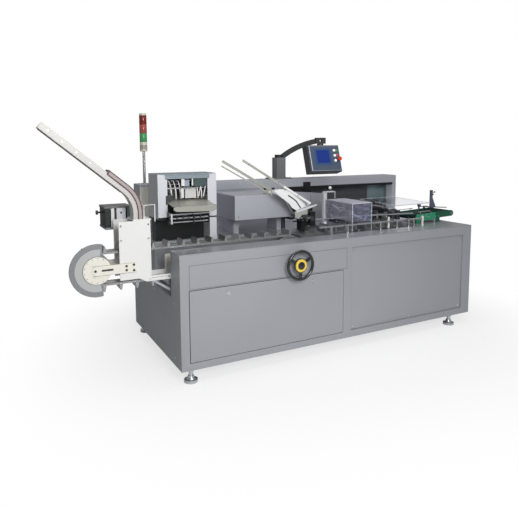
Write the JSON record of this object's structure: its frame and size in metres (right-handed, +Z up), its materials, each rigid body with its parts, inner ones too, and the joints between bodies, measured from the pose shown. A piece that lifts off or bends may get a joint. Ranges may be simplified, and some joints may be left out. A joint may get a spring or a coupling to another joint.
{
  "type": "automatic cartoner",
  "caption": "Horizontal cartoning machine with an inclined product chute, lug chain infeed, leaflet station, sloping carton magazine, operator panel on a swinging arm and belt discharge.",
  "frame": {"origin": "centre of the underside of the front left levelling foot, on the floor", "axes": "+X along the machine with the product flow, +Y from the front to the back, +Z up"},
  "size_m": [3.9449, 1.3619, 1.988],
  "materials": {
    "grey_sheet": "brushed grey sheet, satin",
    "deck_steel": "brushed",
    "bright_metal": "bright, turned",
    "sheet_steel": "brushed sheet",
    "chain_steel": "oiled steel",
    "dark_grey_paint": "semi-gloss",
    "black_paint": "semi-gloss",
    "cream_paint": "satin",
    "white_paint": "satin",
    "green_paint": "semi-gloss",
    "green_belt": "matt belt",
    "black_plastic": "gloss",
    "yellow_plastic": "gloss",
    "red_plastic": "gloss",
    "white_plastic": "matt",
    "cream_plastic": "matt",
    "panel_plastic": "matt",
    "screen_glass": "smooth display",
    "clear_sheet": "clear acrylic"
  },
  "bodies": {
    "machine": {"cabinet": "grey_sheet", "deck_plate": "deck_steel", "front_door": "grey_sheet", "door_latches": "bright_metal", "right_front_panel": "grey_sheet", "levelling_feet": "bright_metal", "wheel_bearing": "bright_metal", "rear_hood": "grey_sheet", "pusher_housing": "grey_sheet", "hood_back_panel": "grey_sheet", "hood_end_post": "grey_sheet", "panel_column": "dark_grey_paint", "tower_pole": "cream_plastic", "tower_lamps": "red_plastic", "infeed_side_plates": "cream_paint", "infeed_end_guards": "cream_paint", "infeed_wheels": "chain_steel", "infeed_chain": "chain_steel", "infeed_housing": "white_paint", "product_chute": "sheet_steel", "chute_retainer": "white_paint", "feeder_unit": "sheet_steel", "leaflet_base": "black_paint", "leaflet_frame": "grey_sheet", "leaflet_tray": "sheet_steel", "leaflet_rollers": "bright_metal", "leaflet_guides": "white_plastic", "magazine_drive_cover": "grey_sheet", "magazine_rails": "sheet_steel", "magazine_guides": "white_plastic", "carton_chain": "chain_steel", "carton_rails": "bright_metal", "tucking_unit": "black_paint", "clear_guards": "clear_sheet", "discharge_frame": "green_paint", "discharge_belt": "green_belt", "hold_down_bar": "dark_grey_paint"},
    "wheel": {"wheel_shaft": "bright_metal", "hand_wheel": "black_plastic", "wheel_dial": "yellow_plastic"},
    "arm": {"panel_arm": "dark_grey_paint"},
    "panel": {"panel_housing": "panel_plastic", "panel_screen": "screen_glass", "panel_buttons": "white_plastic", "emergency_stop": "red_plastic"}
  },
  "joints": [
    {"name": "hand_wheel_turn", "type": "hinge", "parent": "machine", "child": "wheel", "pos_m": [0.875, -0.096, 0.781], "axis": [0, 1, 0], "continuous": true},
    {"name": "arm_swing", "type": "hinge", "parent": "machine", "child": "arm", "pos_m": [1.367, 1.114, 1.6], "axis": [0, 0, 1], "range_deg": [-60, 45]},
    {"name": "panel_swivel", "type": "hinge", "parent": "arm", "child": "panel", "pos_m": [1.75, 0.949, 1.7], "axis": [0, 0, 1], "range_deg": [0, 60]}
  ]
}
